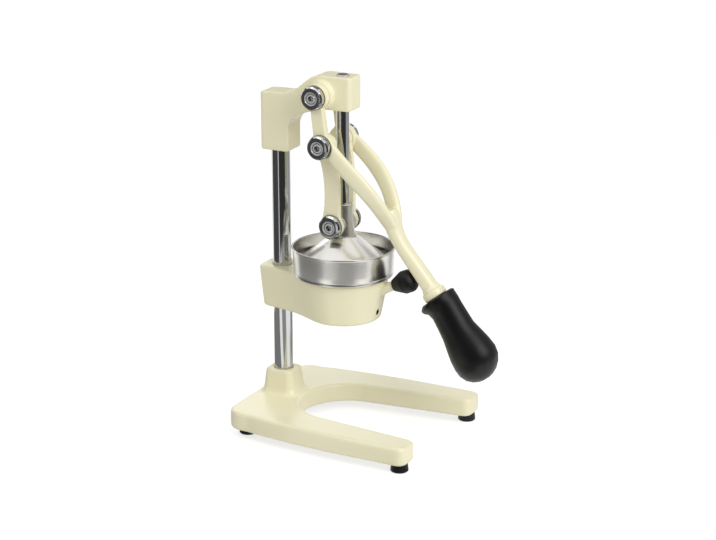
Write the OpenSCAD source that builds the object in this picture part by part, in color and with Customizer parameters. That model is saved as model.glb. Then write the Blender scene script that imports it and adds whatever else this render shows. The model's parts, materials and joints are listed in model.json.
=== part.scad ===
// Lever citrus press. The ram axis is vertical; +X points from the column to the lever's grip.

/* [Stand] */
// Distance from the ram axis back to the column axis
column_reach = 73.6; // [70:0.1:80]
// Diameter of the plated column
column_d = 20; // [18:0.5:22]
// Overall width of the foot casting
base_w = 184; // [175:1:200]
// Width of the foot casting at its back
base_back_w = 162; // [150:1:172]
// Height of the rubber feet
foot_h = 9; // [8:0.5:12]
// Thickness of the foot casting
base_t = 20; // [18:0.5:24]
// Radius of the round end of the glass bay
bay_r = 51; // [46:0.5:54]

/* [Bowl] */
// Height of the underside of the bowl holder
holder_z = 125; // [120:1:130]
// Height of the bowl holder
holder_h = 46.5; // [44:0.5:50]
// Radius of the bowl's rim
bowl_r = 53.2; // [50:0.2:56]
// Height of the bowl's rim
rim_z = 201.7; // [200:0.1:204]
// Wall of the spun steel parts
sheet_t = 1.2; // [1:0.1:1.6]

/* [Ram] */
// Diameter of the ram rod
rod_d = 13.2; // [12:0.1:14]
// Largest radius of the press cone
cone_r = 45; // [42:0.5:47]

/* [Lever] */
// Length from the top pivot to the knee pivot
crank_len = 51; // [50:0.5:52]
// Length of the links between their pivots
link_len = 85.4; // [84.6:0.1:86]
// Thickness of a link
link_t = 5.2; // [4.5:0.1:5.2]
// Thickness of the lever's cranks
fork_t = 7.6; // [7:0.1:8]
// Diameter of the pivot bolt heads
bolt_head_d = 24.6; // [22:0.2:26]
// Length of the moulded grip
grip_len = 97; // [90:1:105]

/* [Hidden] */
$fn = 96;
cream = "#e9e2bd";
steel = "#c9cbcc";
black = "#1c1c1b";
tiny = 0.01;
fit = 0.05;             // radial clearance of a running fit

// The ram axis in the row frame, so that the whole press is centred on X = 0.
ram_x = -38.25;
column_x = -column_reach;

// Foot casting
base_z = foot_h;
base_top = base_z + base_t;
base_back = -99;
base_front = 116;
base_corner_r = 20;
base_nose_r = 8;
base_widest_x = 8;      // where the sides stop widening
bay_x = 4;              // centre of the bay's round end
bay_mouth = 61.5;       // half the bay's width between the leg ends
base_wall = 6;
base_pocket = 11;       // depth of the hollow underneath
boss_hx = 16;
boss_hy = 14;
boss_top = 56;
foot_r = 9.3;
foot_front = [106, 79];
foot_rear = [-82, 62];
column_bottom = 24;
column_bolt_r = 5;

// Bowl holder
holder_top = holder_z + holder_h;
ring_r0 = 38.5;         // ring radius at the underside
ring_r1 = 47.6;         // ring radius at the top
clamp_back0 = -92;
clamp_back1 = -94;
clamp_y0 = 12;
clamp_y1 = 17.6;
clamp_r = 6;
lug_z = 160;            // where the bumper's lug leaves the ring
lug_x = 44;
lug_tilt = 24;
bumper_s0 = 17;
bumper_s1 = 44;
bumper_r = 12;
cavity_r = 42.2;
spout_hole_r = 14;

// Bowl, strainer and press cone
step_z = holder_top + 3;
spout_r = 8;
spout_z = 116;
reamer_top = 201;
reamer_r = 33;
reamer_ribs = 8;
strainer_z = 175.6;

// Ram
hub_r = 9.6;
hub_foot_r = 11.8;
hub_top = 247.6;
cone_top = 213;
cone_lip = 187;
cone_bottom = 182;
rod_top = 382;
rod_bottom = 238;
hub_pivot_x = -4;
trunnion_r = 11;

// Pivots, as [x, z] seen from the side
pivot_a = [-18.2, 361.3];
crank_angle = 7.5;      // the crank leans forward of straight down
pivot_b = pivot_a + crank_len * [sin(crank_angle), -cos(crank_angle)];
pivot_c = [hub_pivot_x,
    pivot_b[1] - sqrt(pow(link_len, 2) - pow(pivot_b[0] - hub_pivot_x, 2))];

// Layers outwards from the middle plane
head_hy = 12.9;         // half the width of the head casting
fork_y = 19;
link_y = fork_y - 0.5 - link_t;
washer_t = 1;
gap = 0.1;
lever_head_t = 6.6;     // heads of the crank and knee bolts
hub_head_t = 5.2;
eye_a_r = 13.5;
eye_b_r = 13.8;
link_eye_b_r = 12.6;
link_eye_c_r = 12.2;
shoulder_r = 5;
thread_r = 4;

// Head casting
head_boss_r = 15;
head_boss_y = fork_y - gap;
head_block_z = 296.5;
head_top = 381;
arm_z = 346;
column_top = 350;

// Handle end of the lever
collar_at = [105, 164.75];
handle_tilt = 51.9;     // the handle's slope below the horizontal
collar_r = 12.5;
collar_t = 8;
stud_r = 5;

function rot2(p, a) = [p[0] * cos(a) - p[1] * sin(a), p[0] * sin(a) + p[1] * cos(a)];
function arc(c, r, a0, a1, n) = [for (i = [0 : n]) c + r * [cos(a0 + (a1 - a0) * i / n),
    sin(a0 + (a1 - a0) * i / n)]];
function bezier(p, t) = pow(1 - t, 3) * p[0] + 3 * t * pow(1 - t, 2) * p[1]
    + 3 * t * t * (1 - t) * p[2] + pow(t, 3) * p[3];
function curve(p, n) = [for (i = [0 : n]) bezier(p, i / n)];
function reversed(list) = [for (i = [len(list) - 1 : -1 : 0]) list[i]];
function mirrored(half) = concat(half, [for (p = reversed(half)) [p[0], -p[1]]]);
function unit(v) = v / norm(v);
function mix(a, b, t) = a + (b - a) * t;
function rounded_rect(hx, hy, r, n) = concat(arc([hx - r, hy - r], r, 0, 90, n),
    arc([-hx + r, hy - r], r, 90, 180, n), arc([-hx + r, -hy + r], r, 180, 270, n),
    arc([hx - r, -hy + r], r, 270, 360, n));
function at_z(outline, z) = [for (p = outline) [p[0], p[1], z]];

// Faces that close a ring of n points: one for a convex ring, a strip across an outline that is
// mirrored about Y = 0, or a strip along each leg of a mirrored horseshoe.
function convex_cap(n) = [[for (j = [0 : n - 1]) j]];
function strip(first, last) = [for (j = [0 : floor((last - first) / 2) - 1])
    last - first - 2 * j < 3 ? [first + j, first + j + 1, last - j]
        : [first + j, first + j + 1, last - j - 1, last - j]];
function mirrored_cap(n) = strip(0, n - 1);
function horseshoe_cap(n) = concat(strip(0, n / 2 - 1), strip(n / 2, n - 1),
    [[n / 2 - 1, n / 2, n - 1, 0]]);

// A closed skin over rings that all have the same number of points, counter-clockwise.
module loft(rings, cap) {
    n = len(rings[0]);
    last = len(rings) - 1;
    sides = [for (i = [0 : last - 1], j = [0 : n - 1], half = [0, 1])
        let (a = i * n + j, b = i * n + (j + 1) % n)
            half == 0 ? [a, a + n, b + n] : [a, b + n, b]];
    top = [for (face = cap) [for (j = reversed(face)) last * n + j]];
    polyhedron([for (ring = rings) each ring], concat(sides, cap, top));
}

// Puts a drawing made in side view, X forwards and Y up, at a distance y to the right or left.
module side_plate(y, thickness) {
    for (side = [-1, 1])
        translate([0, side < 0 ? -y : y + thickness, 0])
            rotate([90, 0, 0])
                linear_extrude(thickness)
                    children();
}

module right_half() { intersection() { children(); translate([-250, -200, 0]) cube([500, 200, 500]); } }

module left_half() { intersection() { children(); translate([-250, 0, 0]) cube([500, 200, 500]); } }

// A round bar across the press, from y0 to y1.
module cross_bar(at, r, y0, y1) {
    translate([at[0], y0, at[1]])
        rotate([-90, 0, 0])
            cylinder(r = r, h = y1 - y0);
}

// Outline of the foot casting, drawn in by i.
function base_outline(i) = let (
    side = base_w / 2 - i,
    back = base_back_w / 2 - i,
    nose = base_nose_r - i / 2,
    tip = base_front - i,
    mouth = bay_mouth + i,
    bay = bay_r + i,
    corner = base_corner_r - i / 2)
    mirrored(concat(
        arc([bay_x, 0], bay, 177, 102, 14),
        arc([tip - nose, mouth + nose], nose, -88, 0, 4),
        arc([tip - nose, side - nose], nose, 0, 88, 4),
        curve([[base_widest_x + 40, side], [base_widest_x, side], [base_back + 50, back + 7],
            [base_back + corner + i + 8, back + 2]], 6),
        arc([base_back + corner + i, back - corner + 2], corner, 92, 178, 6)));

module base() color(cream) translate([ram_x, 0, 0])
    difference() {
        union() {
            loft([for (l = [[0, 1.5], [1.5, 0], [base_t - 3.2, 0], [base_t - 1, 0.9], [base_t, 3]])
                at_z(base_outline(l[1]), base_z + l[0])], horseshoe_cap(len(base_outline(0))));
            translate([column_x, 0, 0])
                loft([for (b = [[base_top - 4, 9, 12], [base_top - 0.6, 8, 12], [base_top + 1.5, 4.6, 9],
                    [base_top + 6, 2.2, 7.5], [boss_top - 2, 0, 6], [boss_top, -1.6, 4.6]])
                    at_z(rounded_rect(boss_hx + b[1], boss_hy + b[1], b[2], 5), b[0])],
                    convex_cap(24));
        }
        difference() {
            translate([0, 0, base_z - 1])
                linear_extrude(base_pocket + 1)
                    polygon(base_outline(base_wall));
            translate([column_x, 0, 0])
                cylinder(r = 22, h = 60);
            for (p = [foot_front, foot_rear], side = [-1, 1])
                translate([p[0], side * p[1], 0])
                    cylinder(r = foot_r, h = 60);
        }
        translate([column_x, 0, column_bottom])
            cylinder(d = column_d + 2 * fit, h = 60);
        translate([column_x, 0, 0])
            cylinder(r = column_bolt_r + 0.4, h = 60);
        translate([column_x, 0, base_z - 1])
            cylinder(r = 13.5, h = 9);
        for (p = [foot_front, foot_rear], side = [-1, 1])
            translate([p[0], side * p[1], 0])
                cylinder(r = 2.5 + fit, h = base_z + 13);
    }

// One rubber foot, with a step under its head for the screw.
module foot(p, side) color(black) translate([ram_x + p[0], side * p[1], 0])
    difference() {
        rotate_extrude()
            polygon([[0, 0], [foot_r - 1, 0], [foot_r, 1], [foot_r - 0.8, foot_h], [0, foot_h]]);
        translate([0, 0, -1])
            cylinder(r = 5, h = 5);
        cylinder(r = 2.5 + fit, h = foot_h + 1);
    }
module foot_front_right() foot(foot_front, -1);
module foot_front_left() foot(foot_front, 1);
module foot_rear_right() foot(foot_rear, -1);
module foot_rear_left() foot(foot_rear, 1);

module foot_screws() color(steel) translate([ram_x, 0, 0])
    for (p = [foot_front, foot_rear], side = [-1, 1])
        translate([p[0], side * p[1], 0])
            difference() {
                union() {
                    translate([0, 0, 1.4])
                        cylinder(r = 4.6, h = 2.6);
                    translate([0, 0, 3.9])
                        cylinder(r = 2.5, h = base_z + 8);
                }
                cylinder(r = 1.5, h = 3, $fn = 6);
            }

module column() color(steel) translate([ram_x + column_x, 0, 0])
    difference() {
        rotate_extrude()
            polygon([[0, column_bottom], [column_d / 2 - 1, column_bottom],
                [column_d / 2, column_bottom + 1], [column_d / 2, column_top - 1],
                [column_d / 2 - 1, column_top], [0, column_top]]);
        translate([0, 0, column_bottom - 1])
            cylinder(r = column_bolt_r + fit, h = 36);
    }

module column_bolt() color(steel) translate([ram_x + column_x, 0, 0])
    difference() {
        union() {
            translate([0, 0, base_z + 0.4])
                cylinder(r = 8, h = 5.6);
            translate([0, 0, base_z + 5.9])
                cylinder(r = column_bolt_r, h = 40);
        }
        cylinder(r = 4, h = base_z + 4.4, $fn = 6);
    }

module column_washer() color(steel) translate([ram_x + column_x, 0, base_z + 6])
    difference() {
        cylinder(r = 12.5, h = 2);
        translate([0, 0, -1])
            cylinder(r = column_bolt_r + 0.3, h = 4);
    }

// Outline of the bowl holder: t runs from 0 at the underside to 1 at the top, i draws it in.
function holder_outline(t, i) = let (
    ring = mix(ring_r0, ring_r1, t) - i,
    back = mix(clamp_back0, clamp_back1, t) + i,
    half = mix(clamp_y0, clamp_y1, t) - i,
    waist = [-57, mix(17.2, 24, t) - i],
    touch = 115,
    on_ring = ring * [cos(touch), sin(touch)],
    along = [sin(touch), -cos(touch)],
    half_outline = concat(
        arc([0, 0], ring, 0.5, touch - 5, 22),
        curve([on_ring, on_ring - 13 * along, waist + [13, 2.8], waist], 7),
        arc([back + clamp_r, half - clamp_r], clamp_r, 96, 178, 5)))
    mirrored(half_outline);

module holder_cavity() {
    translate([0, 0, holder_z + 7])
        cylinder(r1 = 22, r2 = cavity_r, h = holder_h - 7 + tiny);
    translate([0, 0, holder_z - 1])
        cylinder(r = spout_hole_r, h = 20);
}

// The lug that carries the bumper points up and forwards, square to the lever when it is down.
module on_lug() {
    translate([lug_x, 0, lug_z])
        rotate([0, 90 - lug_tilt, 0])
            children();
}

module bowl_holder() color(cream) translate([ram_x, 0, 0])
    difference() {
        union() {
            loft([for (l = [[0, 1.6], [1.6, 0], [holder_h - 1.6, 0], [holder_h, 1.4]])
                at_z(holder_outline(l[0] / holder_h, l[1]), holder_z + l[0])],
                mirrored_cap(len(holder_outline(0, 0))));
            on_lug()
                rotate_extrude()
                    polygon([[0, -4], [7, -4], [5.4, 8], [5, bumper_s0 - 0.2], [0, bumper_s0 - 0.2]]);
        }
        holder_cavity();
        translate([column_x, 0, 0])
            cylinder(d = column_d + 2 * fit, h = 400);
        for (z = [holder_z + 13, holder_top - 13])
            translate([clamp_back1 - 1, 0, z])
                rotate([0, 90, 0])
                    cylinder(r = 3 + fit, h = 15);
        translate([30, 0, holder_z + 10])
            rotate([0, 90, 0])
                cylinder(r = 3 + fit, h = 20);
        on_lug()
            translate([0, 0, 2])
                cylinder(r = 3 + fit, h = 40);
    }

// A socket grub screw along +Z, with its socket at the bottom.
module grub_screw(r, h) {
    difference() {
        cylinder(r = r, h = h);
        translate([0, 0, -1])
            cylinder(r = r / 2, h = 3.2, $fn = 6);
    }
}

module holder_set_screws() color(steel) translate([ram_x, 0, 0])
    for (z = [holder_z + 13, holder_top - 13])
        translate([clamp_back1 + 2.6, 0, z])
            rotate([0, 90, 0])
                grub_screw(3, column_x - column_d / 2 - clamp_back1 - 2.8);

module bowl_set_screw() color(black) translate([ram_x + 39.5, 0, holder_z + 10])
    rotate([0, -90, 0])
        grub_screw(3, 8);

module bumper() color(black) translate([ram_x, 0, 0])
    on_lug()
        difference() {
            rotate_extrude()
                polygon(concat([[0, bumper_s0], [6.6, bumper_s0], [7.2, bumper_s0 + 1.4],
                    [bumper_r - 0.8, bumper_s0 + 10], [bumper_r, bumper_s0 + 12]],
                    [for (a = [0 : 15 : 90]) [bumper_r * cos(a), bumper_s1 - 8.2 + 8 * sin(a)]]));
            translate([0, 0, bumper_s0 - 1])
                cylinder(r = 3 + fit, h = 13);
        }

module bumper_stud() color(steel) translate([ram_x, 0, 0])
    on_lug()
        translate([0, 0, 3])
            cylinder(r = 3, h = bumper_s0 + 8);

// Spun bowl: rolled rim, side wall, step on the holder, funnel and spout.
module funnel_bowl() color(steel) translate([ram_x, 0, 0])
    rotate_extrude()
        polygon([[bowl_r - sheet_t, rim_z - 1.4], [bowl_r - sheet_t - 1.2, step_z + 3],
            [bowl_r - sheet_t - 1.8, step_z], [cavity_r - 3, step_z - 1.8],
            [10, holder_z + 12.4], [spout_r, holder_z + 8], [spout_r, spout_z],
            [spout_r + sheet_t, spout_z], [spout_r + sheet_t, holder_z + 7.6],
            [11, holder_z + 11.4], [cavity_r - 2, step_z - 3], [bowl_r - 2.2, step_z - 3],
            [bowl_r - 1.2, step_z - 2.4], [bowl_r - 1.2, step_z - 0.6], [bowl_r - 1.8, step_z + 0.2],
            [bowl_r - 1.1, step_z + 1.2], [bowl_r, rim_z - 2.4], [bowl_r + 0.8, rim_z - 1.8],
            [bowl_r + 0.9, rim_z - 0.6], [bowl_r + 0.2, rim_z], [bowl_r - 0.6, rim_z - 0.2]]);

// Perforated insert with the ribbed reamer that stands up into the press cone.
module strainer() color(steel) translate([ram_x, 0, 0])
    difference() {
        union() {
            rotate_extrude()
                polygon([[bowl_r - 4, step_z + sheet_t + 0.3], [bowl_r - 4, step_z + 0.2],
                    [cavity_r - 2, step_z - 1.4 + 0.2], [reamer_r + 0.5, step_z - 1.2], [5, reamer_top - 4.6],
                    [0, reamer_top - 3.4], [0, reamer_top], [5, reamer_top - 1.5],
                    [reamer_r + 2, step_z + 0.4], [cavity_r - 2, step_z + 0.4]]);
            for (i = [0 : reamer_ribs - 1])
                rotate([90, 0, i * 360 / reamer_ribs])
                    translate([0, 0, -1])
                        linear_extrude(2)
                            polygon([[3, reamer_top - 3], [4, reamer_top + 0.4],
                                [20, reamer_top - 9.4], [reamer_r + 3, step_z]]);
        }
        for (k = [0 : 23])
            rotate([0, 0, k * 15])
                translate([reamer_r + 5.6, 0, 100])
                    cylinder(r = 1.5, h = 100);
    }

// Side outline of the head casting: block round the column, arched arm, block round the ram.
head_outline = concat(
    arc([-88, head_block_z + 3], 3, 180, 270, 3),
    arc([-60, head_block_z + 3], 3, 270, 360, 3),
    curve([[-57, 321], [-57, 334], [-47, 339.5], [-14, arm_z]], 8),
    arc([13, arm_z + 2.5], 2, 270, 360, 3),
    arc([13, head_top - 2], 2, 0, 90, 3),
    curve([[-20, head_top], [-36, head_top - 0.5], [-44, 360], [-64, 358.6]], 10),
    arc([-88, 355], 3, 93, 180, 3));

module head() color(cream) translate([ram_x, 0, 0])
    difference() {
        union() {
            intersection() {
                translate([0, head_hy, 0])
                    rotate([90, 0, 0])
                        linear_extrude(2 * head_hy)
                            polygon(head_outline);
                translate([-38, 0, head_block_z])
                    linear_extrude(100)
                        polygon(rounded_rect(53, head_hy, 4, 4));
            }
            cross_bar(pivot_a, head_boss_r, -head_boss_y, head_boss_y);
        }
        cylinder(d = rod_d + 2 * fit, h = 500);
        translate([column_x, 0, 0])
            cylinder(d = column_d + 2 * fit, h = column_top + 0.5);
        for (side = [-1, 1])
            cross_bar(pivot_a, thread_r + fit, side < 0 ? -30 : 8.2, side < 0 ? -8.2 : 30);
        for (z = [head_block_z + 14, head_block_z + 42])
            translate([-95, 0, z])
                rotate([0, 90, 0])
                    cylinder(r = 3 + fit, h = 20);
    }

module head_set_screws() color(steel) translate([ram_x, 0, 0])
    for (z = [head_block_z + 14, head_block_z + 42])
        translate([-89.6, 0, z])
            rotate([0, 90, 0])
                grub_screw(3, 5.8);

module ram_rod() color(steel) translate([ram_x, 0, 0])
    rotate_extrude()
        polygon([[0, rod_bottom], [rod_d / 2, rod_bottom], [rod_d / 2, rod_top - 0.8],
            [rod_d / 2 - 0.8, rod_top], [0, rod_top]]);

// Hub at the rod's foot: a socket for the rod, a cross boss for the links and a foot for the cone.
module press_hub() color(steel) translate([ram_x, 0, 0])
    difference() {
        union() {
            rotate_extrude()
                polygon([[0, cone_top], [hub_foot_r, cone_top], [hub_foot_r, cone_top + 3],
                    [hub_r, cone_top + 17], [hub_r, hub_top - 3], [hub_r + 0.8, hub_top - 2.6],
                    [hub_r + 0.8, hub_top - 0.6], [hub_r + 0.2, hub_top], [0, hub_top]]);
            cross_bar(pivot_c, trunnion_r, gap - link_y, link_y - gap);
        }
        translate([0, 0, rod_bottom])
            cylinder(d = rod_d + 2 * fit, h = 40);
        for (side = [-1, 1])
            cross_bar(pivot_c, thread_r + fit, side < 0 ? -20 : 4.6, side < 0 ? -4.6 : 20);
        translate([0, 0, cone_top - 1])
            cylinder(r = 3 + fit, h = 9);
    }

// Bell that comes down over the fruit.
module press_cone() color(steel) translate([ram_x, 0, 0])
    difference() {
        rotate_extrude()
            polygon(concat([[0, cone_top], [12.2, cone_top]],
                curve([[12.2, cone_top], [22, 206.5], [33, 197.5], [cone_r, cone_lip]], 6),
                [[cone_r, cone_bottom], [cone_r - 2, cone_bottom], [cone_r - 2, cone_lip - 1]],
                curve([[cone_r - 2, cone_lip - 1], [32, 195], [21, 204], [12, cone_top - 3.4]], 6),
                [[0, cone_top - 3.4]]));
        translate([0, 0, 100])
            cylinder(r = 3 + fit, h = 150);
    }

module cone_screw() color(steel) translate([ram_x, 0, 0])
    difference() {
        union() {
            translate([0, 0, cone_top - 7])
                cylinder(r = 6, h = 3.6);
            translate([0, 0, cone_top - 3.5])
                cylinder(r = 3, h = 11);
        }
        translate([0, 0, cone_top - 8])
            cylinder(r = 2.5, h = 3.4, $fn = 6);
    }

// Rings of a bar that follows a path seen from the side and leans in towards the middle plane.
function bar_ring(p, before, after, depth, width, side) = let (
    d = unit([after[0] - before[0], after[2] - before[2]]),
    up = [-d[1], d[0]])
    [for (a = [0 : 22.5 : 337.5]) let (
        u = sign(cos(a)) * pow(abs(cos(a)), 0.7) * width / 2,
        v = sign(sin(a)) * pow(abs(sin(a)), 0.7) * depth / 2)
        [p[0] + up[0] * v, side * (p[1] + u), p[2] + up[1] * v]];

arm_path = [[-7, 23, 313], [22.9, 31, 283.1], [46, 23.2, 271.5], [61.8, 0.8, 220]];
stem_path = [[54, 0, 247.5], [58, 0, 213], [79, 0, 201], [collar_at[0], 0, collar_at[1]]];
stem_depths = [12, 15, 16, 15.4, 14.6, 14, 14.2, 14.6, 15, 15.4, 15.8, 16.2, 16.6];
stem_widths = [14, 16.5, 18, 18, 17.5, 17, 16.6, 16.4, 16.4, 16.4, 16.4, 16.6, 16.8];

// One arm of the fork, from the knee to its end inside the stem.
module fork_arm(side) {
    n = 16;
    points = curve(arm_path, n);
    rings = [for (i = [0 : n]) bar_ring(points[i], points[max(i - 1, 0)], points[min(i + 1, n)],
        lookup(i / n, [[0, 16], [0.43, 18], [0.87, 16], [1, 12.5]]),
        lookup(i / n, [[0, fork_t], [0.8, fork_t + 2], [1, fork_t]]), side)];
    loft(side > 0 ? rings : reversed(rings), convex_cap(16));
}

module stem() {
    points = curve(stem_path, 12);
    loft([for (i = [0 : 12]) bar_ring(points[i], points[max(i - 1, 0)], points[min(i + 1, 12)],
        stem_depths[i], stem_widths[i], 1)], convex_cap(16));
}

// Everything on the handle is drawn along its axis, from the collar's middle outwards.
module on_handle() {
    translate([collar_at[0], 0, collar_at[1]])
        rotate([0, 90 + handle_tilt, 0])
            children();
}

// Side view of the crank between the top pivot and the knee.
module crank_outline() {
    across = rot2([6.6, 0], crank_angle);
    translate(pivot_a)
        circle(r = eye_a_r);
    translate(pivot_b)
        circle(r = eye_b_r);
    polygon([pivot_a - across, pivot_a + across, pivot_b + 1.1 * across, pivot_b - 1.1 * across]);
}

module lever() color(cream) translate([ram_x, 0, 0])
    difference() {
        union() {
            side_plate(fork_y, fork_t)
                crank_outline();
            fork_arm(-1);
            fork_arm(1);
            stem();
            on_handle()
                rotate_extrude()
                    polygon([[0, -collar_t], [9.6, -collar_t], [10.2, -collar_t / 2 - 0.6],
                        [collar_r - 0.8, -collar_t / 2], [collar_r, -collar_t / 2 + 0.8],
                        [collar_r, collar_t / 2 - 0.8], [collar_r - 0.8, collar_t / 2],
                        [0, collar_t / 2]]);
        }
        cross_bar(pivot_a, shoulder_r + fit, -60, 60);
        cross_bar(pivot_b, shoulder_r + fit, -60, 60);
        for (side = [-1, 1])
            cross_bar(pivot_b, bolt_head_d / 2 + 1, side < 0 ? -60 : fork_y + fork_t,
                side < 0 ? -fork_y - fork_t : 60);
        cross_bar(pivot_b, eye_b_r + 1, -fork_y, fork_y);
        on_handle()
            translate([0, 0, -28])
                cylinder(r = stud_r + fit, h = 60);
    }

// Grip stations: distance along the handle, how far the middle is offset, half height, half width.
grip_stations = [[0, 0.4, 17.2, 16.6], [1.4, 0.2, 19.4, 18.6], [4.4, -1.2, 20.8, 19.4],
    [7.4, -0.6, 20.4, 18.4], [10.8, 1.4, 18.6, 16.8], [17, 1.8, 17.7, 16], [28, 0.9, 18.2, 16.4],
    [41, -0.3, 19, 17.4], [52, -0.6, 21.6, 19.6], [63, -0.9, 24, 21.4], [73, -1.1, 25, 22.4],
    [81, -1.8, 23.8, 21.4], [88, -2.6, 20, 18], [93, -2.9, 14.6, 13], [96, -3, 8.6, 7.6],
    [97, -3, 4, 3.6]];

module grip() color(black) translate([ram_x, 0, 0])
    on_handle()
        difference() {
            translate([0, 0, collar_t / 2 + gap])
                loft([for (s = grip_stations) at_z([for (a = [0 : 12 : 348])
                    [-s[1] + s[2] * cos(a), s[3] * sin(a)]], s[0] * grip_len / 97)], convex_cap(30));
            cylinder(r = stud_r + fit, h = collar_t / 2 + 62);
        }

module grip_stud() color(steel) translate([ram_x, 0, 0])
    on_handle()
        translate([0, 0, -27])
            cylinder(r = stud_r, h = 27 + collar_t / 2 + 61);

// Side view of a link: two eyes, a straight front edge and a hollow back edge.
module link_outline() {
    translate(pivot_b)
        circle(r = link_eye_b_r);
    translate(pivot_c)
        circle(r = link_eye_c_r);
    polygon(concat(
        curve([[-20.5, 303], [-11.5, 282], [-9.5, 252], [-16, 229]], 12),
        curve([[5.2, 229], [4.6, 250], [6.4, 278], [0.5, 307]], 12)));
}

module links() {
    difference() {
        side_plate(link_y, link_t)
            link_outline();
        cross_bar(pivot_b, shoulder_r + fit, -60, 60);
        cross_bar(pivot_c, shoulder_r + fit, -60, 60);
    }
}
module link_right() color(cream) translate([ram_x, 0, 0]) right_half() links();
module link_left() color(cream) translate([ram_x, 0, 0]) left_half() links();

// A shoulder bolt lying along +Z under its head, with a grooved face and a hexagon socket.
module pivot_bolt(head_t, shoulder, thread) {
    r = bolt_head_d / 2;
    difference() {
        rotate_extrude()
            polygon([[0, -shoulder - thread], [thread > 0 ? thread_r : shoulder_r, -shoulder - thread],
                [thread > 0 ? thread_r : shoulder_r, -shoulder], [shoulder_r, -shoulder],
                [shoulder_r, 0], [r, 0], [r, head_t - 1.6], [r - 1.4, head_t - 0.3],
                [r - 4.4, head_t], [7, head_t], [6.6, head_t - 0.8], [5.2, head_t - 0.8],
                [4.8, head_t], [0, head_t]]);
        translate([0, 0, head_t - 3.4])
            cylinder(r = 3, h = 4, $fn = 6);
    }
}

// Places a bolt's head face-down on a plane at distance y from the middle, on one side.
module bolt_at(at, y, side) {
    translate([ram_x + at[0], side * y, at[1]])
        rotate([side < 0 ? 90 : -90, 0, 0])
            children();
}

module washer_pair(at, y) color(black)
    for (side = [-1, 1])
        bolt_at(at, y, side)
            difference() {
                cylinder(r = bolt_head_d / 2 + 0.3, h = washer_t);
                translate([0, 0, -1])
                    cylinder(r = shoulder_r + 0.2, h = washer_t + 2);
            }

fork_face = fork_y + fork_t + gap;
link_face = link_y + link_t + gap;
module crank_bolt(side) color(steel) bolt_at(pivot_a, fork_face + washer_t + gap / 2, side)
    pivot_bolt(lever_head_t, fork_t + washer_t + 2 * gap, 9);
module knee_bolt(side) color(steel) bolt_at(pivot_b, fork_face + washer_t + gap / 2, side)
    pivot_bolt(lever_head_t, fork_t + washer_t + gap, 0);
module hub_bolt(side) color(steel) bolt_at(pivot_c, link_face + washer_t + gap / 2, side)
    pivot_bolt(hub_head_t, link_t + washer_t + 2 * gap, 8);
module crank_bolt_right() crank_bolt(-1);
module crank_bolt_left() crank_bolt(1);
module knee_bolt_right() knee_bolt(-1);
module knee_bolt_left() knee_bolt(1);
module hub_bolt_right() hub_bolt(-1);
module hub_bolt_left() hub_bolt(1);
module crank_washers() washer_pair(pivot_a, fork_face);
module knee_washers() washer_pair(pivot_b, fork_face);
module hub_washers() washer_pair(pivot_c, link_face);

base();
foot_front_right();
foot_front_left();
foot_rear_right();
foot_rear_left();
foot_screws();
column();
column_bolt();
column_washer();
bowl_holder();
holder_set_screws();
bowl_set_screw();
bumper();
bumper_stud();
funnel_bowl();
strainer();
head();
head_set_screws();
ram_rod();
press_hub();
press_cone();
cone_screw();
lever();
grip();
grip_stud();
link_right();
link_left();
crank_bolt_right();
crank_bolt_left();
crank_washers();
knee_bolt_right();
knee_bolt_left();
knee_washers();
hub_bolt_right();
hub_bolt_left();
hub_washers();
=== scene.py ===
import json
import math
import bpy
from mathutils import Matrix, Vector


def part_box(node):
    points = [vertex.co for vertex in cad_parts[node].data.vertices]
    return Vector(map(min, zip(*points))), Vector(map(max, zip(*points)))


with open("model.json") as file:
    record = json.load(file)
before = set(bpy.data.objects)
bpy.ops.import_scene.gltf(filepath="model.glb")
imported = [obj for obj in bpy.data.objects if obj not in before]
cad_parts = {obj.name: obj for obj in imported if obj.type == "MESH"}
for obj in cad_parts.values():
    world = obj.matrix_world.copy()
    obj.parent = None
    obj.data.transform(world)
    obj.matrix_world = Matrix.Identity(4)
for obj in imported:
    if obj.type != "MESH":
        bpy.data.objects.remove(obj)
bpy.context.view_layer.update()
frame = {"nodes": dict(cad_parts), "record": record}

nodes = frame["nodes"]
mm = 0.001
print("frame loaded:", len(nodes), "nodes")


# an sRGB hex value as a linear colour
def hexToLinear(code):
    parts = [int(code[i:i + 2], 16) / 255 for i in (1, 3, 5)]
    return tuple(c / 12.92 if c <= 0.04045 else ((c + 0.055) / 1.055) ** 2.4 for c in parts) + (1.0,)


def linearGrey(value):
    return (value, value, value, 1)


# adds a node, sets its values and links its inputs: a (node, output) pair is a link, any other value
# is set. An input goes by its name, or by its number where names repeat, as _0 or _1
def addNode(tree, kind, settings=None, **inputs):
    node = tree.nodes.new(kind)
    for key, value in (settings or {}).items():
        setattr(node, key, value)
    for key, value in inputs.items():
        socket = node.inputs[int(key[1:])] if key[1:].isdigit() else node.inputs[key.replace("_", " ")]
        if isinstance(value, tuple) and isinstance(value[0], bpy.types.Node):
            tree.links.new(value[0].outputs[value[1]], socket)
        else:
            socket.default_value = value
    return node


def newMaterial(name, **values):
    material = bpy.data.materials.new(name)
    material.use_nodes = True
    tree = material.node_tree
    shader = tree.nodes["Principled BSDF"]
    for key, value in values.items():
        shader.inputs[key.replace("_", " ")].default_value = value
    return material, tree, shader


enamel = {
    "colour": "#f4eecb",
    "roughness": 0.38,
    "coat": 0.25,
    "coatRoughness": 0.18,
    "peelWidth": 1.6 * mm,     # orange peel of a powder coat
    "peelHeight": 0.03 * mm,
    "peelStrength": 0.25,
    "peelDetail": 1.0,
    "peelRoughness": 0.4,
}


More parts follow.
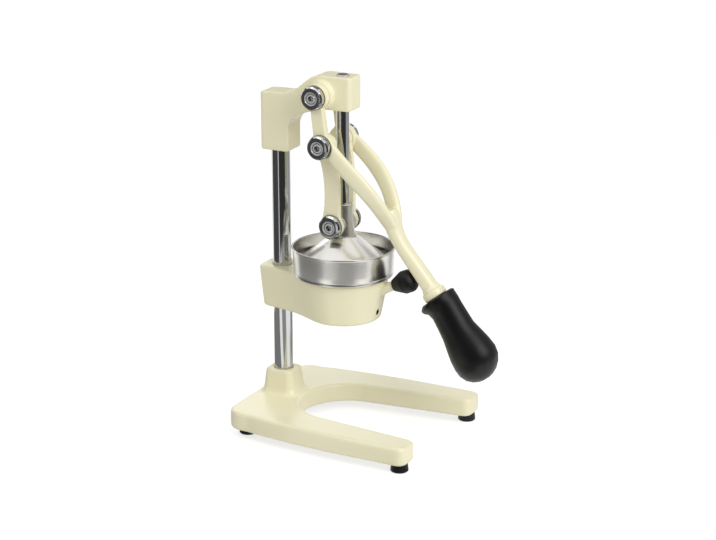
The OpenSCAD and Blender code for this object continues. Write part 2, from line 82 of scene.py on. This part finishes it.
# cream powder coat over cast aluminium: warm, softly glossy, with a faint orange peel
def creamPowderCoat():
    material, tree, shader = newMaterial(
        "cream powder coat", Base_Color=hexToLinear(enamel["colour"]), Roughness=enamel["roughness"],
        Coat_Weight=enamel["coat"], Coat_Roughness=enamel["coatRoughness"])
    place = addNode(tree, "ShaderNodeTexCoord")
    peel = addNode(tree, "ShaderNodeTexNoise", Vector=(place, "Object"), Scale=1 / enamel["peelWidth"],
                   Detail=enamel["peelDetail"], Roughness=enamel["peelRoughness"])
    bump = addNode(tree, "ShaderNodeBump", Height=(peel, "Fac"), Strength=enamel["peelStrength"],
                   Distance=enamel["peelHeight"])
    tree.links.new(bump.outputs["Normal"], shader.inputs["Normal"])
    return material


chrome = {"colour": "#cfd0cf", "metallic": 1.0, "roughness": 0.09}
zinc = {"colour": "#bcbdbf", "metallic": 1.0, "roughness": 0.3}
blackOxide = {"colour": "#2a2928", "metallic": 0.6, "roughness": 0.45}
nylon = {"colour": "#1c1c1c", "metallic": 0.0, "roughness": 0.5}


# a skin with no pattern that would show: plating on ground bar or small screws, a punched washer
def evenSkin(name, look):
    return newMaterial(name, Base_Color=hexToLinear(look["colour"]), Metallic=look["metallic"],
                       Roughness=look["roughness"])[0]


turnedHead = {
    "pitch": 2.54 * mm,        # two dull rings round the hexagon socket, this far apart
    "reach": 7.4 * mm,         # radius past which the face is polished
    "metallic": 0.3,
    "roughness": 0.42,
    "edge": (0.3, 0.7),        # a ring goes from polished to dull between these parts of half a pitch
}
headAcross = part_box("crank_bolt_right")[1][0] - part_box("crank_bolt_right")[0][0]


# the pivot bolts' heads are polished and plated, but two turned rings stay dull and catch the light
def turnedChrome():
    material, tree, shader = newMaterial("hard chrome plate, turned head",
                                         Base_Color=hexToLinear(chrome["colour"]))
    middle = (0.5, 0.5, 0.5)   # of the box that Generated coordinates run through
    place = addNode(tree, "ShaderNodeTexCoord")
    shift = addNode(tree, "ShaderNodeVectorMath", {"operation": "SUBTRACT"}, _0=(place, "Generated"),
                    _1=middle)
    face = addNode(tree, "ShaderNodeVectorMath", {"operation": "MULTIPLY"}, _0=(shift, "Vector"),
                   _1=(headAcross, 0.0, headAcross))
    radius = addNode(tree, "ShaderNodeVectorMath", {"operation": "LENGTH"}, _0=(face, "Vector"))
    half = turnedHead["pitch"] / 2
    waves = addNode(tree, "ShaderNodeMath", {"operation": "PINGPONG"}, _0=(radius, "Value"), _1=half)
    near = addNode(tree, "ShaderNodeMath", {"operation": "LESS_THAN"}, _0=(radius, "Value"),
                   _1=turnedHead["reach"])
    rings = addNode(tree, "ShaderNodeMath", {"operation": "MULTIPLY"}, _0=(waves, "Value"),
                    _1=(near, "Value"))
    start, end = turnedHead["edge"]
    for name, key in (("Metallic", "metallic"), ("Roughness", "roughness")):
        blend = addNode(tree, "ShaderNodeMapRange", Value=(rings, "Value"), From_Min=start * half,
                        From_Max=end * half, To_Min=chrome[key], To_Max=turnedHead[key])
        tree.links.new(blend.outputs["Result"], shader.inputs[name])
    return material


spun = {
    "colour": "#eae8e2",
    "roughness": 0.23,
    "hubRoughness": 0.32,      # the hub is turned and left satin
    "anisotropy": 0.65,
    "ringPitch": 0.5 * mm,     # polishing marks run round the axis; real ones are finer than a pixel
    "ringHeight": 0.006 * mm,
    "ringStrength": 0.4,
    "ringDetail": 2.0,
}
ramX = (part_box("ram_rod")[0][0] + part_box("ram_rod")[1][0]) / 2


# stainless steel worked on a lathe: fine marks round the ram's axis draw the highlights out into rays
def spunStainless(name, roughness):
    material, tree, shader = newMaterial(
        name, Base_Color=hexToLinear(spun["colour"]), Metallic=1.0, Roughness=roughness,
        Anisotropic=spun["anisotropy"])
    place = addNode(tree, "ShaderNodeTexCoord")
    shift = addNode(tree, "ShaderNodeVectorMath", {"operation": "SUBTRACT"}, _0=(place, "Object"),
                    _1=(ramX, 0.0, 0.0))
    split = addNode(tree, "ShaderNodeSeparateXYZ", Vector=(shift, "Vector"))
    flat = addNode(tree, "ShaderNodeCombineXYZ", X=(split, "X"), Y=(split, "Y"))
    radius = addNode(tree, "ShaderNodeVectorMath", {"operation": "LENGTH"}, _0=(flat, "Vector"))
    rings = addNode(tree, "ShaderNodeCombineXYZ", X=(radius, "Value"), Z=(split, "Z"))
    marks = addNode(tree, "ShaderNodeTexNoise", Vector=(rings, "Vector"), Scale=1 / spun["ringPitch"],
                    Detail=spun["ringDetail"])
    bump = addNode(tree, "ShaderNodeBump", Height=(marks, "Fac"), Strength=spun["ringStrength"],
                   Distance=spun["ringHeight"])
    turned = addNode(tree, "ShaderNodeTangent", {"direction_type": "RADIAL", "axis": "Z"})
    tree.links.new(turned.outputs["Tangent"], shader.inputs["Tangent"])
    tree.links.new(bump.outputs["Normal"], shader.inputs["Normal"])
    return material


grip = {
    "colour": "#0e0e0d",
    "roughness": 0.36,
    "specular": 0.35,
    "grainWidth": 0.5 * mm,
    "grainHeight": 0.02 * mm,
    "grainStrength": 0.2,
}
rubber = {
    "colour": "#0a0a09",
    "roughness": 0.5,
    "specular": 0.35,
    "grainWidth": 0.7 * mm,
    "grainHeight": 0.02 * mm,
    "grainStrength": 0.2,
}


# a moulded skin with the fine grain of a spark-eroded mould: satin on the grip, dull on rubber
def grainedBlack(name, look):
    material, tree, shader = newMaterial(
        name, Base_Color=hexToLinear(look["colour"]), Roughness=look["roughness"],
        Specular_IOR_Level=look["specular"])
    place = addNode(tree, "ShaderNodeTexCoord")
    grain = addNode(tree, "ShaderNodeTexNoise", Vector=(place, "Object"), Scale=1 / look["grainWidth"])
    bump = addNode(tree, "ShaderNodeBump", Height=(grain, "Fac"), Strength=look["grainStrength"],
                   Distance=look["grainHeight"])
    tree.links.new(bump.outputs["Normal"], shader.inputs["Normal"])
    return material


finishes = {
    "cream_enamel": creamPowderCoat(),
    "chrome_plate": evenSkin("hard chrome plate", chrome),         # on ground bar: a mirror, faintly hazed
    "turned head": turnedChrome(),
    "turned hub": spunStainless("turned stainless steel", spun["hubRoughness"]),
    "stainless_sheet": spunStainless("spun stainless steel", spun["roughness"]),
    "moulded_grip": grainedBlack("moulded polypropylene", grip),
    "black_rubber": grainedBlack("black nitrile rubber", rubber),
    "black_washer": evenSkin("black nylon", nylon),                # punched sheet: dull, a little grey
    "zinc_screws": evenSkin("bright zinc plate", zinc),            # silvery and hazed, no mirror
    "black_screw": evenSkin("black oxide steel", blackOxide),      # dark and satin, still a metal
}
slotOf = {part["node"]: part["material_slot"] for part in frame["record"]["subparts"]}


# the pivot bolts and the hub show how they were turned, and every other piece has its slot's finish
def finishOf(name):
    if "_bolt_" in name:
        return "turned head"
    if name == "press_hub":
        return "turned hub"
    return slotOf[name]


for name, node in nodes.items():
    node.data.materials.clear()
    node.data.materials.append(finishes[finishOf(name)])
print("materials on", len(nodes), "nodes")


# the frame's meshes hold a corner once for each face that meets there, and a weld makes it one
weldGap = 0.01 * mm
castings = {
    "relax": 0.5,
    # voxel size and rounds of smoothing: small voxels keep the lever's collar crisp
    "skins": {
        "base": (1.1 * mm, 6),
        "bowl_holder": (0.9 * mm, 9),
        "head": (0.9 * mm, 9),
        "lever": (0.6 * mm, 9),
        "link_right": (0.7 * mm, 9),
        "link_left": (0.7 * mm, 9),
    },
}


# a casting's edges are soft everywhere, so the whole skin is remeshed and relaxed
def softenCasting(node):
    node.modifiers.new("weld", "WELD").merge_threshold = weldGap
    remesh = node.modifiers.new("cast skin", "REMESH")
    remesh.mode = "VOXEL"
    remesh.voxel_size, rounds = castings["skins"][node.name]
    remesh.use_smooth_shade = True
    relax = node.modifiers.new("soft edges", "SMOOTH")
    relax.factor = castings["relax"]
    relax.iterations = rounds


turning = {
    "edge": 0.35 * mm,
    "segments": 2,
    "angle": 35,               # sharper corners than this are edges
    "flatness": 100,           # how much more a large face counts in the shading than a small one
}


# a machined or moulded piece only breaks its edges, and its flats stay flat
def breakEdges(node):
    node.modifiers.new("weld", "WELD").merge_threshold = weldGap
    bevel = node.modifiers.new("broken edges", "BEVEL")
    bevel.width = turning["edge"]
    bevel.segments = turning["segments"]
    bevel.limit_method = "ANGLE"
    bevel.angle_limit = math.radians(turning["angle"])
    node.data.shade_smooth()
    even = node.modifiers.new("even shading", "WEIGHTED_NORMAL")
    even.weight = turning["flatness"]
    even.keep_sharp = True


for name, node in nodes.items():
    if name in castings["skins"]:
        softenCasting(node)
    else:
        breakEdges(node)
print("edges softened")


# the lamps face this point, and the flats stand round it
aim = Vector((-0.02, 0.0, 0.17))
lamps = {
    "key": {"place": (1.85, -0.67, 1.51), "size": 1.3, "watts": 30},
    "fill": {"place": (-0.71, -1.38, 1.87), "size": 1.4, "watts": 9.5},
    "rear": {"place": (-1.4, 1.38, 1.39), "size": 1.4, "watts": 7},
}


def softBox(name, place, size, watts):
    data = bpy.data.lights.new(name, "AREA")
    data.shape = "SQUARE"
    data.size = size
    data.energy = watts
    lamp = bpy.data.objects.new(name, data)
    facing = (Vector(place) - aim).to_track_quat("Z", "Y").to_matrix().to_4x4()
    lamp.matrix_world = Matrix.Translation(place) @ facing
    bpy.context.collection.objects.link(lamp)


for name, lamp in lamps.items():
    softBox(name, **lamp)
print("lamps hung")


# flats between the lamps, seen in reflections alone. A shape is the distance and height of its
# lower edge, then those of its upper edge. A screen has a shape, the bearings where it starts and
# ends, in degrees from the grip's side and clockwise from above, and a brightness, where 1 is white
flats = {
    "steps": 24,
    "shapes": {
        "upright": ((0.44, 0.05), (0.44, 0.6)),
        "skirting": ((0.44, 0.002), (0.44, 0.05)),
        "full": ((0.44, 0.002), (0.44, 0.6)),
        "lying": ((0.12, 0.002), (0.44, 0.002)),
        "hanging": ((0.6, 0.42), (0.6, 0.85)),
    },
    "screens": {
        "front flat": ("upright", 10, 100, 0.04),
        "gap flat": ("upright", 100, 109, 0.8),
        "left flat": ("upright", 109, 180, 0.075),
        "low front flat": ("skirting", 10, 76, 0.4),
        "low gap flat": ("skirting", 76, 108, 0.68),
        "low left flat": ("skirting", 108, 180, 0.27),
        "floor left flat": ("lying", 118, 205, 0.25),
        "floor front flat": ("lying", 36, 90, 0.35),
        "floor right flat": ("lying", -110, -50, 0.35),
        "side flat": ("upright", -58, 10, 0.42),
        "right flat": ("full", -78, -58, 0.4),
        "rear flat": ("hanging", -150, -88, 0.2),
    },
}


# a screen curved round the press, upright or lying
def standFlat(name, shape, start, end, brightness):
    steps = flats["steps"]
    corners = []
    for i in range(steps + 1):
        bearing = -math.radians(start + (end - start) * i / steps)
        for distance, height in flats["shapes"][shape]:
            corners.append((aim.x + distance * math.cos(bearing), distance * math.sin(bearing), height))
    faces = [(2 * i, 2 * i + 2, 2 * i + 3, 2 * i + 1) for i in range(steps)]
    mesh = bpy.data.meshes.new(name)
    mesh.from_pydata(corners, [], faces)
    material, tree, _ = newMaterial(name)
    glow = addNode(tree, "ShaderNodeEmission", Color=linearGrey(brightness), Strength=1.0)
    tree.links.new(glow.outputs["Emission"], tree.nodes["Material Output"].inputs["Surface"])
    material.cycles.emission_sampling = "NONE"      # only mirrored, so it isn't sampled as a lamp
    mesh.materials.append(material)
    flat = bpy.data.objects.new(name, mesh)
    flat.visible_camera = flat.visible_diffuse = flat.visible_shadow = False
    bpy.context.collection.objects.link(flat)


for name, screen in flats["screens"].items():
    standFlat(name, *screen)
print("flats stood up:", len(flats["screens"]))


# what the camera, a mirror or glass sees of the background is white, but for the floor's shadow
def seenDirectly(tree):
    path = addNode(tree, "ShaderNodeLightPath")
    either = addNode(tree, "ShaderNodeMath", {"operation": "MAXIMUM"}, _0=(path, "Is Camera Ray"),
                     _1=(path, "Is Glossy Ray"))
    return addNode(tree, "ShaderNodeMath", {"operation": "MAXIMUM"}, _0=(either, "Value"),
                   _1=(path, "Is Transmission Ray"))


# greys are linear, and 1 is white
backdrop = {
    "skyLight": 0.45,          # what lights the press
    "skySeen": 1.0,
    "floorSize": 2.8,
    "floorPaint": 0.8,         # what the floor gives back to the press
    "floorRoughness": 0.9,
    "floorShade": 0.45,        # the floor as it is seen: a part that takes the shadow
    "floorGlow": 0.72,         # and a part that only glows
}


def hangSky():
    world = bpy.data.worlds.new("studio")
    bpy.context.scene.world = world
    world.use_nodes = True
    tree = world.node_tree
    tree.nodes.clear()
    seen = seenDirectly(tree)
    lit = addNode(tree, "ShaderNodeBackground", Color=linearGrey(1), Strength=backdrop["skyLight"])
    white = addNode(tree, "ShaderNodeBackground", Color=linearGrey(1), Strength=backdrop["skySeen"])
    both = addNode(tree, "ShaderNodeMixShader", _0=(seen, "Value"), _1=(lit, "Background"),
                   _2=(white, "Background"))
    addNode(tree, "ShaderNodeOutputWorld", Surface=(both, "Shader"))


def layFloor():
    bpy.ops.mesh.primitive_plane_add(size=backdrop["floorSize"], location=(0, 0, 0))
    floor = bpy.context.object
    floor.name = "floor"
    material, tree, shader = newMaterial("white sweep", Base_Color=linearGrey(backdrop["floorPaint"]),
                                         Roughness=backdrop["floorRoughness"])
    seen = seenDirectly(tree)
    shade = addNode(tree, "ShaderNodeBsdfDiffuse", Color=linearGrey(backdrop["floorShade"]))
    glow = addNode(tree, "ShaderNodeEmission", Strength=backdrop["floorGlow"])
    bright = addNode(tree, "ShaderNodeAddShader", _0=(shade, "BSDF"), _1=(glow, "Emission"))
    both = addNode(tree, "ShaderNodeMixShader", _0=(seen, "Value"), _1=(shader, "BSDF"),
                   _2=(bright, "Shader"))
    tree.links.new(both.outputs["Shader"], tree.nodes["Material Output"].inputs["Surface"])
    material.cycles.emission_sampling = "NONE"
    floor.data.materials.append(material)


hangSky()
layFloor()
print("sky and floor made")


# fitted to the photograph: degrees, metres, and millimetres for the lens and the sensor
shot = {
    "azimuth": 28.24,
    "elevation": 17.82,
    "roll": -0.18,
    "distance": 2.20131,
    "target": (-0.02146, 0.0, 0.17701),
    "lens": 106.97,
    "sensor": 36,
    "clipEnd": 50,
}


def shootFrom(shot):
    az, el = math.radians(shot["azimuth"]), math.radians(shot["elevation"])
    back = Vector((math.sin(az) * math.cos(el), -math.cos(az) * math.cos(el), math.sin(el)))
    right = Vector((math.cos(az), math.sin(az), 0))
    turn = Matrix((right, back.cross(right), back)).transposed().to_4x4()
    roll = Matrix.Rotation(math.radians(shot["roll"]), 4, "Z")
    data = bpy.data.cameras.new("photo camera")
    data.lens = shot["lens"]
    data.sensor_width = shot["sensor"]
    data.clip_end = shot["clipEnd"]
    camera = bpy.data.objects.new("photo camera", data)
    camera.matrix_world = Matrix.Translation(Vector(shot["target"]) + back * shot["distance"]) @ turn @ roll
    bpy.context.collection.objects.link(camera)
    bpy.context.scene.camera = camera


shootFrom(shot)
bpy.context.scene.view_settings.view_transform = "Standard"
print("camera set")
